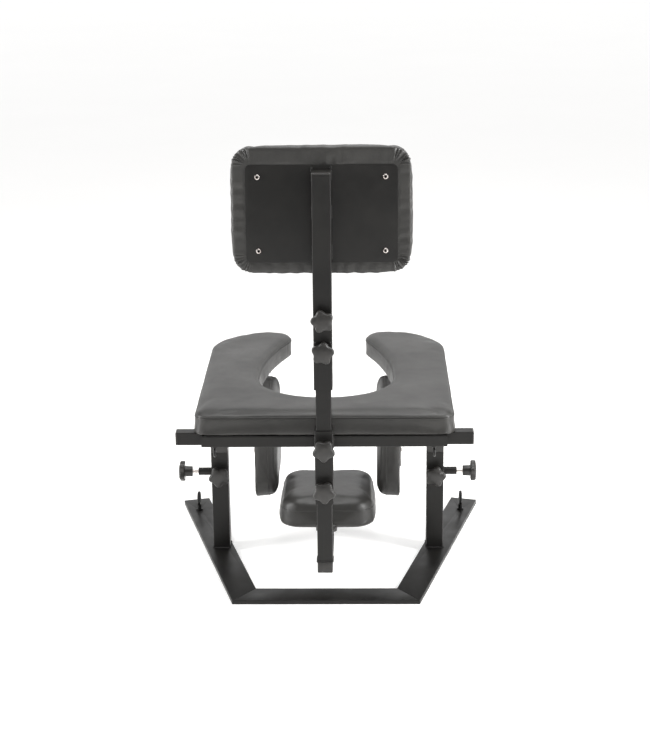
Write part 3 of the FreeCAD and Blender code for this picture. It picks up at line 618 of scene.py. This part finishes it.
class SEAT_OT_seat_cover(bpy.types.Operator):
    """Upholster the horseshoe seat"""
    bl_idname = "horseshoe.seat_cover"
    bl_label = "Seat Cover"

    def execute(self, context):
        sizes = context.scene.seat_upholstery
        low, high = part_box("seat_cushion")
        opening_radius = 0.182
        centre_y = low.y + 0.343    # middle of the opening's round end
        inner_reach = 0.26      # walls nearer than this to the middle belong to the opening
        gather = 0.010          # spacing of the gathers on the inner walls

        def detail(place, normal):
            flat = creases(place, 0.09, 0.0008) + creases(place, 0.03, 0.0002)
            if abs(normal.z) > 0.75:
                return flat
            below_seam = smoothstep(high.z - place.z, 0.014, 0.024)
            if abs(place.x) < inner_reach and low.y + 0.08 < place.y < high.y - 0.06:
                ahead = place.y - centre_y
                run = ahead if ahead > 0 else opening_radius * (
                    atan2(abs(place.x), -ahead) - pi / 2)
                wander = 0.8 * noise.noise(place * 25)
                wave = sin(2 * pi * run / gather + 2 * pi * wander)
                strength = 0.5 + 0.5 * noise.noise(place * 18 + Vector((3, 1, 2)))
                return flat + 0.0008 * wave * strength * below_seam
            return flat + 0.0008 * below_seam * noise.noise(
                Vector((place.x * 45, place.y * 45, place.z * 8)))

        gap = sizes.welt_radius * 2.6
        cover("seat_cover", ("seat_cushion", "seat_board"), "seat", (0, 0, 1), 0.0128, 0.012,
              0.005, 0.0065, detail, (sizes.seam_drop, sizes.seam_drop + gap), calm=1.6)
        return {"FINISHED"}


class SEAT_OT_back_cover(bpy.types.Operator):
    """Upholster the back pad, with gathers at its corners"""
    bl_idname = "horseshoe.back_cover"
    bl_label = "Back Pad Cover"

    def execute(self, context):
        sizes = context.scene.seat_upholstery
        low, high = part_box("back_cushion")
        plate_low, plate_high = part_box("back_plate")
        corner = 0.047
        pleats = 27             # gathers in a full turn about a corner's centre
        middle = (low + high) / 2
        half_wide = (high.x - low.x) / 2 - corner
        half_high = (high.z - low.z) / 2 - corner

        def detail(place, normal):
            out = creases(place, 0.08, 0.0012) + creases(place, 0.028, 0.0004)
            beside_x = abs(place.x - middle.x) - half_wide
            beside_z = abs(place.z - middle.z) - half_high
            behind = 1 - smoothstep(place.y, low.y - 0.012, low.y + 0.012)
            if beside_x > 0 and beside_z > 0:
                reach = hypot(beside_x, beside_z)
                angle = atan2(beside_z, beside_x)
                wander = 0.9 * noise.noise(Vector((angle * 2.2, middle.x + beside_x * 6, 4)))
                wave = sin(pleats * angle + 2 * pi * wander)
                strength = 0.65 + 0.6 * noise.noise(Vector((angle * 3, place.x, place.z)) * 2)
                here = (smoothstep(reach, 0.010, 0.024) * behind
                        * (1 - 0.75 * smoothstep(reach, 0.040, 0.047)))
                return out + sizes.pleat_depth * (wave * strength + 0.3) * here
            border = max(abs(place.x) - plate_high.x, place.z - plate_high.z,
                         plate_low.z - place.z)
            if border > 0:
                stretch = Vector((place.x * 55, place.y * 20, place.z * 14))
                if abs(place.x) > plate_high.x:
                    stretch = Vector((place.x * 14, place.y * 20, place.z * 55))
                pull = noise.noise(stretch)
                out += 0.0019 * (pull + 0.35) * behind * smoothstep(border, 0, 0.008)
                rumple = exp(-((place.x - 0.03) / 0.05) ** 2)
                if place.z > plate_high.z:
                    out += 0.0034 * rumple * behind * noise.noise(place * 38)
            return out

        cover("back_cover", ("back_cushion", "back_board"), "back", (0, 1, 0), 0.0138, 0.014,
              0.0045, 0.0042, detail, (sizes.seam_drop,))
        return {"FINISHED"}


class SEAT_OT_low_cover(bpy.types.Operator):
    """Upholster the crowned low pad"""
    bl_idname = "horseshoe.low_cover"
    bl_label = "Low Pad Cover"

    def execute(self, context):
        sizes = context.scene.seat_upholstery
        axis = JOINTS["arm_extend"]["axis"]
        up = Vector((0, -axis[2], axis[1]))

        low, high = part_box("low_pad_cushion")
        middle = (low + high) / 2
        crown = 0.004           # how far the middle of the face stands above its rim

        def detail(place, normal):
            across = (place.x - middle.x) / (high.x - middle.x)
            along = (place.y - middle.y) / (high.y - middle.y)
            dome = max(0.0, 1 - across * across) * max(0.0, 1 - along * along)
            fullness = 0.0035 + crown * dome * smoothstep(normal.z, 0.3, 0.9)
            return fullness + creases(place, 0.07, 0.0008) + creases(place, 0.025, 0.0002)

        cover("low_pad_cover", ("low_pad_cushion", "low_pad_board"), "arm", up, 0.0128, 0.022,
              0.0045, 0.005, detail, (sizes.seam_drop * 2.2,), calm=3)
        return {"FINISHED"}


class SEAT_OT_side_covers(bpy.types.Operator):
    """Upholster the two upright side pads"""
    bl_idname = "horseshoe.side_covers"
    bl_label = "Side Pad Covers"

    def execute(self, context):
        sizes = context.scene.seat_upholstery

        def detail(place, normal):
            return creases(place, 0.07, 0.0014) + creases(place, 0.022, 0.0003)

        for side, sign in SIDES:
            cover(f"{side}_side_cover", (f"{side}_side_cushion", f"{side}_side_board"), "seat",
                  (-sign, 0, 0), 0.0108, 0.02, 0.0045, 0.005, detail, (sizes.seam_drop * 2,),
                  calm=2)
        return {"FINISHED"}


# ---------------------------------------------------------------- knobs, screws, welds

def star_knob(mesh, hub_radius, hub_high, stud_long, sizes):
    """A moulded knob standing on its hub at the origin, its steel stud running below."""
    around = 24 * sizes.lobe_count
    rim = bmesh.ops.create_circle(mesh, cap_ends=True, radius=1, segments=around)["verts"]
    for vert in rim:
        angle = atan2(vert.co.y, vert.co.x)
        reach = sizes.knob_radius + sizes.lobe_depth * cos(sizes.lobe_count * angle)
        vert.co = Vector((reach * cos(angle), reach * sin(angle), hub_high))
    # each ring of the domed front: its radius, and its height above the ring outside it
    dome = ((0.0172, 0.0009), (0.0135, 0.0008), (0.009, 0.0006), (0.0045, 0.0003))
    top, loop = raise_face(mesh, rim[0].link_faces[0])
    bmesh.ops.translate(mesh, vec=(0, 0, sizes.head_thick - sum(rise for _, rise in dome)),
                        verts=loop)
    round_edges(mesh, list(top.edges), 0.0052, 6)
    under = [e for e in mesh.edges if all(abs(v.co.z - hub_high) < MERGE for v in e.verts)]
    round_edges(mesh, under, 0.003, 4)
    top = max(mesh.faces, key=lambda f: f.calc_center_median().z + f.calc_area())
    for reach, rise in dome:
        top, loop = raise_face(mesh, top)
        for vert in loop:
            vert.co.xy = vert.co.xy.normalized() * reach
            vert.co.z += rise
    hub = bmesh.ops.create_cone(mesh, cap_ends=True, segments=48, radius1=hub_radius,
                                radius2=hub_radius * 1.06, depth=hub_high + 0.004,
                                matrix=Matrix.Translation((0, 0, hub_high / 2 + 0.002)))["verts"]
    foot = [e for e in mesh.edges if all(v in hub and v.co.z < MERGE for v in e.verts)]
    round_edges(mesh, foot, 0.0012, 3)
    stud = bmesh.ops.create_cone(mesh, cap_ends=True, segments=32, radius1=0.0042,
                                 radius2=0.0049, depth=stud_long,
                                 matrix=Matrix.Translation((0, 0, -stud_long / 2)))["verts"]
    for vert in stud:
        for face in vert.link_faces:
            face.material_index = 1


class SEAT_OT_star_knobs(bpy.types.Operator):
    """Mould the clamp knobs and pull-pin knobs"""
    bl_idname = "horseshoe.star_knobs"
    bl_label = "Star Knobs"

    def execute(self, context):
        sizes = context.scene.seat_hardware
        hub_high = 0.008
        hub_radius = 0.0145
        pin_hub_high = 0.022
        clamp_stud = 0.013
        pin_stud = 0.004
        pin_turn = 30
        clamp_turns = {"left_post_knob": 12, "right_post_knob": 40, "upper_sleeve_knob": 90,
                       "lower_sleeve_knob": 24, "collar_knob": 46, "back_pad_knob": 68,
                       "arm_knob": 15}
        for knob, turn in clamp_turns.items():
            joint = JOINTS[f"{knob}_turn"]
            axis = Vector(joint["axis"])
            place = Vector(joint["pos_m"])
            base = place
            if knob != "arm_knob":
                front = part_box(knob)[0].y
                base = Vector((place.x, front + sizes.head_thick + hub_high, place.z))
            self.add(knob, base, axis, radians(turn), hub_radius, hub_high, clamp_stud, sizes)
        for side, sign in SIDES:
            low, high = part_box(f"{side}_pin_barrel")
            middle = (low + high) / 2
            outer = max(abs(corner.x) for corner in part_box(f"{side}_pin_knob"))
            base = Vector((sign * (outer - sizes.head_thick - pin_hub_high), middle.y, middle.z))
            self.add(f"{side}_pin_knob", base, Vector((sign, 0, 0)), radians(pin_turn),
                     hub_radius, pin_hub_high, pin_stud, sizes)
        return {"FINISHED"}

    def add(self, node, base, axis, turn, hub_radius, hub_high, stud_long, sizes):
        """Place one knob in its CAD knob's stead."""
        mesh = bmesh.new()
        star_knob(mesh, hub_radius, hub_high, stud_long, sizes)
        upright = Matrix.Rotation(pi, 4, "Z") if axis.y < -0.5 else Matrix.Identity(4)
        matrix = (Matrix.Translation(base) @ facing(axis) @ upright
                  @ Matrix.Rotation(turn, 4, "Z"))
        bmesh.ops.transform(mesh, matrix=matrix, verts=mesh.verts)
        add_piece(f"{node}_moulding", mesh, BODY_OF[node], "moulded_plastic", (node,),
                  extra_slots=("bare_steel",))


def button_head(mesh, sizes, matrix):
    """A button-head screw with a hexagon socket, its underside at the origin."""
    radius, high = sizes.screw_radius, sizes.screw_high
    around = 36
    rim = bmesh.ops.create_circle(mesh, cap_ends=True, radius=radius, segments=around)["verts"]
    face = rim[0].link_faces[0]
    made = set(rim)
    for scale, rise in ((1.0, 0.3), (0.94, 0.25), (0.84, 0.2), (0.68, 0.17), (0.5, 0.08)):
        face, loop = raise_face(mesh, face)
        reach = max(hypot(v.co.x, v.co.y) for v in loop)
        for vert in loop:
            vert.co.x *= radius * scale / reach
            vert.co.y *= radius * scale / reach
            vert.co.z += rise * high
        made.update(loop)
    socket_reach = 0.0022
    socket_deep = 0.0022
    sixth = pi / 3
    for drop in (0.0, socket_deep):
        face, loop = raise_face(mesh, face)
        for vert in loop:
            angle = atan2(vert.co.y, vert.co.x)
            reach = socket_reach / cos(angle % sixth - sixth / 2)
            vert.co.x, vert.co.y = reach * cos(angle), reach * sin(angle)
            vert.co.z -= drop
        made.update(loop)
    bmesh.ops.transform(mesh, matrix=matrix, verts=list(made))


class SEAT_OT_screws(bpy.types.Operator):
    """Turn the button-head screws of the plate, the seat and the small pads"""
    bl_idname = "horseshoe.screws"
    bl_label = "Screws"

    def execute(self, context):
        sizes = context.scene.seat_hardware
        arm_axis = JOINTS["arm_extend"]["axis"]
        under_arm = Vector((0, arm_axis[2], -arm_axis[1]))
        down = Vector((0, 0, -1))
        groups = {"back_plate_screws": Vector((0, -1, 0)), "seat_screws": down,
                  "side_pad_screws": None, "low_pad_screws": under_arm}
        for node, way in groups.items():
            mesh = bmesh.new()
            for number, (low, high) in enumerate(islands(node)):
                size = high - low
                middle = (low + high) / 2
                direction = way
                if way is None:
                    sideways = size.x < size.z
                    direction = Vector((1 if middle.x > 0 else -1, 0, 0)) if sideways else down
                base = middle - direction * sizes.screw_high / 2
                turn = Matrix.Rotation(radians(40 * number), 4, "Z")
                button_head(mesh, sizes, Matrix.Translation(base) @ facing(direction) @ turn)
            add_piece(f"{node}_heads", mesh, BODY_OF[node], "bare_steel", (node,))
        return {"FINISHED"}


def weld_run(mesh, start, end, radius):
    """Overlapping ripples of weld metal along a straight line."""
    start, end = Vector(start), Vector(end)
    count = max(2, ceil((end - start).length / (radius * WELD_STEP)))
    along = facing((end - start).normalized())
    for i in range(count + 1):
        place = start.lerp(end, i / count)
        swing = 0.12 * radius * noise.noise(place * 300)
        size = radius * (1 + 0.16 * noise.noise(place * 190))
        matrix = (Matrix.Translation(place + Vector((swing, swing, swing))) @ along
                  @ Matrix.Diagonal((1, 1, 0.62, 1)))
        bmesh.ops.create_icosphere(mesh, subdivisions=2, radius=size, matrix=matrix)


def weld_ring(mesh, centre, axis, radius, bead):
    """Ripples of weld metal round a boss or a barrel."""
    count = ceil(2 * pi * radius / (bead * WELD_STEP))
    turn = facing(axis)
    for i in range(count):
        angle = 2 * pi * i / count
        matrix = (Matrix.Translation(Vector(centre)) @ turn @ Matrix.Rotation(angle, 4, "Z")
                  @ Matrix.Translation((radius, 0, 0)) @ Matrix.Diagonal((1, 0.62, 1, 1)))
        size = bead * (1 + 0.16 * noise.noise(Vector((angle * 3, radius * 90, 0))))
        bmesh.ops.create_icosphere(mesh, subdivisions=2, radius=size, matrix=matrix)


class SEAT_OT_welds(bpy.types.Operator):
    """Run the weld beads that hold the frame together"""
    bl_idname = "horseshoe.welds"
    bl_label = "Welds"

    def execute(self, context):
        bead = context.scene.seat_hardware.bead_radius
        boss_radius = 0.009
        boss_long = 0.010
        # how far below the plate's top each weld on the post starts and ends
        plate_welds = ((0.007, 0.040), (0.107, 0.137), (0.207, 0.243))
        uneven = 0.003          # how much higher the welder ran the right-hand beads

        mesh = bmesh.new()
        for side, sign in SIDES:
            low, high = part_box(f"{side}_post_sleeve")
            low_y = high.y - (high.x - low.x)
            foot = [(low.x, low_y), (high.x, low_y), (high.x, high.y), (low.x, high.y)]
            for a, b in zip(foot, foot[1:] + foot[:1]):
                weld_run(mesh, (*a, low.z), (*b, low.z), bead)
            barrel_low, barrel_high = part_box(f"{side}_pin_barrel")
            middle = (barrel_low + barrel_high) / 2
            inner = sign * min(abs(barrel_low.x), abs(barrel_high.x))
            weld_ring(mesh, (inner, middle.y, middle.z), (1, 0, 0),
                      (barrel_high.z - barrel_low.z) / 2, bead * 0.7)
            pivot = JOINTS[f"{side}_post_knob_turn"]["pos_m"]
            weld_ring(mesh, (pivot[0], low_y, pivot[2]), (0, 1, 0), boss_radius, bead * 0.6)
        add_piece("floor_frame_welds", mesh, "base", "frame_steel")

        mesh = bmesh.new()
        low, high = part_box("rear_sleeve")
        beam_low, beam_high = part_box("rear_beam")
        for x in (low.x, high.x):
            weld_run(mesh, (x, high.y, beam_low.z), (x, high.y, beam_high.z), bead)
        weld_run(mesh, (low.x, high.y, beam_low.z), (high.x, high.y, beam_low.z), bead * 0.8)
        for knob in ("upper_sleeve_knob", "lower_sleeve_knob"):
            pivot = JOINTS[f"{knob}_turn"]["pos_m"]
            weld_ring(mesh, (pivot[0], low.y + boss_long, pivot[2]), (0, 1, 0), boss_radius,
                      bead * 0.6)
        for side, sign in SIDES:
            leg_low, leg_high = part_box(f"{side}_leg")
            for y in (leg_low.y, leg_high.y):
                weld_run(mesh, (leg_low.x, y, leg_high.z), (leg_high.x, y, leg_high.z),
                         bead * 0.8)
        add_piece("seat_frame_welds", mesh, "seat", "frame_steel")

        mesh = bmesh.new()
        low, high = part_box("outer_post")
        plate_low, plate_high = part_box("back_plate")
        for top, foot in plate_welds:
            for x, shift in ((low.x, 0.0), (high.x, uneven)):
                weld_run(mesh, (x, plate_low.y, plate_high.z - top + shift),
                         (x, plate_low.y, plate_high.z - foot + shift), bead)
        pivot = JOINTS["back_pad_knob_turn"]["pos_m"]
        weld_ring(mesh, (pivot[0], low.y + boss_long, pivot[2]), (0, 1, 0), boss_radius,
                  bead * 0.6)
        add_piece("back_pad_welds", mesh, "back", "frame_steel")

        mesh = bmesh.new()
        low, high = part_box("inner_post")
        for x in (low.x, high.x):
            weld_run(mesh, (x, low.y, low.z + 0.001), (x, high.y, low.z - 0.002), bead)
        weld_run(mesh, (low.x, low.y, low.z), (high.x, low.y, low.z), bead)
        add_piece("post_foot_weld", mesh, "post", "frame_steel")

        mesh = bmesh.new()
        low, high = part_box("stop_collar")
        pivot = JOINTS["collar_knob_turn"]["pos_m"]
        weld_ring(mesh, (pivot[0], low.y + boss_long, pivot[2]), (0, 1, 0), boss_radius,
                  bead * 0.6)
        add_piece("collar_weld", mesh, "collar", "frame_steel")
        return {"FINISHED"}


class SEAT_OT_eased_parts(bpy.types.Operator):
    """Ease the cut edges of bars, plates, brackets, caps and bushes"""
    bl_idname = "horseshoe.eased_parts"
    bl_label = "Eased Edges"

    def execute(self, context):
        edge = context.scene.seat_hardware.eased_edge
        widths = {"rear_bar": 1.5, "left_arm_bar": 1.5, "right_arm_bar": 1.5, "back_plate": 1.0,
                  "left_side_bracket": 1.0, "right_side_bracket": 1.0, "low_pad_plate": 1.0,
                  "left_guide_bush": 2.0, "right_guide_bush": 2.0, "left_tube_cap": 2.2,
                  "right_tube_cap": 2.2, "post_cap": 2.2, "arm_sleeve_cap": 2.0}
        for node, share in widths.items():
            mesh = cad_copy(node)
            round_edges(mesh, [e for e in mesh.edges if is_sharp(e)], edge * share, 3)
            add_piece(f"{node}_eased", mesh, BODY_OF[node], SLOT_OF[node], (node,))
        return {"FINISHED"}


class SEAT_OT_frame_finishes(bpy.types.Operator):
    """Give every CAD part that still shows its own finish"""
    bl_idname = "horseshoe.frame_finishes"
    bl_label = "Frame Finishes"

    def execute(self, context):
        for node, shape in frame["nodes"].items():
            shape.data.materials.clear()
            shape.data.materials.append(finish_for(SLOT_OF[node]))
        return {"FINISHED"}


# ---------------------------------------------------------------- stage

class SEAT_OT_stage(bpy.types.Operator):
    """Set up the pale floor, the soft light and the camera"""
    bl_idname = "horseshoe.stage"
    bl_label = "Stage"

    def execute(self, context):
        scene = context.scene
        studio = scene.seat_studio
        scene.view_settings.view_transform = "Standard"

        floor_reach = 30
        mesh = bmesh.new()
        bmesh.ops.create_grid(mesh, x_segments=1, y_segments=1, size=floor_reach)
        data = bpy.data.meshes.new("studio_floor")
        mesh.to_mesh(data)
        mesh.free()
        floor = bpy.data.objects.new("studio_floor", data)
        data.materials.append(polished_floor())
        scene.collection.objects.link(floor)

        scene.world = self.surround(studio)

        for name, place, wide, high, power in (
                ("overhead", (0.3, 0.2, 3.2), 2.6, 2.6, studio.overhead),
                ("left_strip", (-2.9, -0.9, 1.5), 0.5, 2.2, studio.strip),
                ("right_strip", (2.8, -1.2, 1.6), 0.5, 2.2, studio.strip * 1.3)):
            light = bpy.data.lights.new(name, "AREA")
            light.shape = "RECTANGLE"
            light.size = wide
            light.size_y = high
            light.energy = power
            lamp = bpy.data.objects.new(name, light)
            lamp.location = place
            aim = Vector((0, 0, 0.5)) - Vector(place)
            lamp.rotation_euler = aim.to_track_quat("-Z", "Y").to_euler()
            scene.collection.objects.link(lamp)

        camera_data = bpy.data.cameras.new("studio_camera")
        camera_data.lens = studio.lens
        camera_data.clip_end = 100
        camera = bpy.data.objects.new("studio_camera", camera_data)
        level = cos(studio.pitch)
        forward = Vector((sin(studio.yaw) * level, cos(studio.yaw) * level, -sin(studio.pitch)))
        right = forward.cross(Vector((0, 0, 1))).normalized()
        above = right.cross(forward)
        tilted = (cos(studio.roll) * right + sin(studio.roll) * above,
                  cos(studio.roll) * above - sin(studio.roll) * right, -forward)
        camera.matrix_world = (Matrix.Translation(studio.place)
                               @ Matrix(tilted).transposed().to_4x4())
        scene.collection.objects.link(camera)
        scene.camera = camera
        return {"FINISHED"}

    def surround(self, studio):
        """A white sweep, brightest in a bank of lights low ahead of the seat, dimmer elsewhere."""
        world = bpy.data.worlds.new("white_surround")
        world.use_nodes = True
        tree = world.node_tree
        tree.nodes.clear()
        way = add_node(tree, "ShaderNodeSeparateXYZ", {
            "Vector": add_node(tree, "ShaderNodeTexCoord").outputs["Generated"]})
        ramp = add_node(tree, "ShaderNodeValToRGB", {"Fac": way.outputs["Z"]})
        stops = ramp.color_ramp.elements
        stops[0].color = linear("#FFFFFF")
        for angle, share in ((17, 1.0), (20, studio.bank_share), (24.5, studio.bank_share),
                             (28, 0.35)):
            stops.new(sin(radians(angle))).color = (share / studio.bank_share,) * 3 + (1,)
        for stop in (stops[0], stops[-1]):
            level = 1.0 if stop.position == 0 else 0.35
            stop.color = (level / studio.bank_share,) * 3 + (1,)
        banked = add_node(tree, "ShaderNodeMath", {
            0: ramp.outputs["Color"], 1: studio.bank_share * studio.sky_ahead},
            operation="MULTIPLY")
        ahead = add_node(tree, "ShaderNodeMapRange", {
            "Value": way.outputs["Y"], "From Min": -0.2, "From Max": 0.6,
            "To Min": studio.sky_behind, "To Max": banked.outputs["Value"]})
        lit = add_node(tree, "ShaderNodeBackground", {"Strength": ahead.outputs["Result"]})
        seen = add_node(tree, "ShaderNodeBackground", {"Strength": studio.sky})
        for shade in (lit, seen):
            shade.inputs["Color"].default_value = (1, 1, 1, 1)
        rays = add_node(tree, "ShaderNodeLightPath")
        mix = add_node(tree, "ShaderNodeMixShader", {
            0: rays.outputs["Is Camera Ray"], 1: lit.outputs[0], 2: seen.outputs[0]})
        add_node(tree, "ShaderNodeOutputWorld", {"Surface": mix.outputs[0]})
        return world


# ---------------------------------------------------------------- panel and start

OPERATORS = (SEAT_OT_frame_finishes, SEAT_OT_eased_parts, SEAT_OT_seat_cover,
             SEAT_OT_back_cover, SEAT_OT_low_cover, SEAT_OT_side_covers, SEAT_OT_star_knobs,
             SEAT_OT_screws, SEAT_OT_welds, SEAT_OT_stage)


class SEAT_PT_looks(bpy.types.Panel):
    """Lists the steps that dress the seat frame"""
    bl_idname = "SEAT_PT_looks"
    bl_label = "Horseshoe Seat"
    bl_space_type = "VIEW_3D"
    bl_region_type = "UI"
    bl_category = "Horseshoe Seat"

    def draw(self, context):
        for group in ("seat_upholstery", "seat_hardware", "seat_studio"):
            box = self.layout.box()
            for name in getattr(context.scene, group).__annotations__:
                box.prop(getattr(context.scene, group), name)
        for operator in OPERATORS:
            self.layout.operator(operator.bl_idname)


GROUPS = {"seat_upholstery": UpholsterySizes, "seat_hardware": HardwareSizes,
          "seat_studio": StudioSettings}


def register():
    """Register the classes and hang the settings on the scene."""
    for group in (*GROUPS.values(), *OPERATORS, SEAT_PT_looks):
        bpy.utils.register_class(group)
    for name, group in GROUPS.items():
        setattr(bpy.types.Scene, name, PointerProperty(type=group))


def unregister():
    """Take the settings and the classes away again."""
    for name in GROUPS:
        delattr(bpy.types.Scene, name)
    for group in reversed((*GROUPS.values(), *OPERATORS, SEAT_PT_looks)):
        bpy.utils.unregister_class(group)


def main():
    """Dress the frame."""
    register()
    for operator in OPERATORS:
        getattr(bpy.ops.horseshoe, operator.bl_idname.split(".")[1])()


if __name__ == "__main__":
    main()
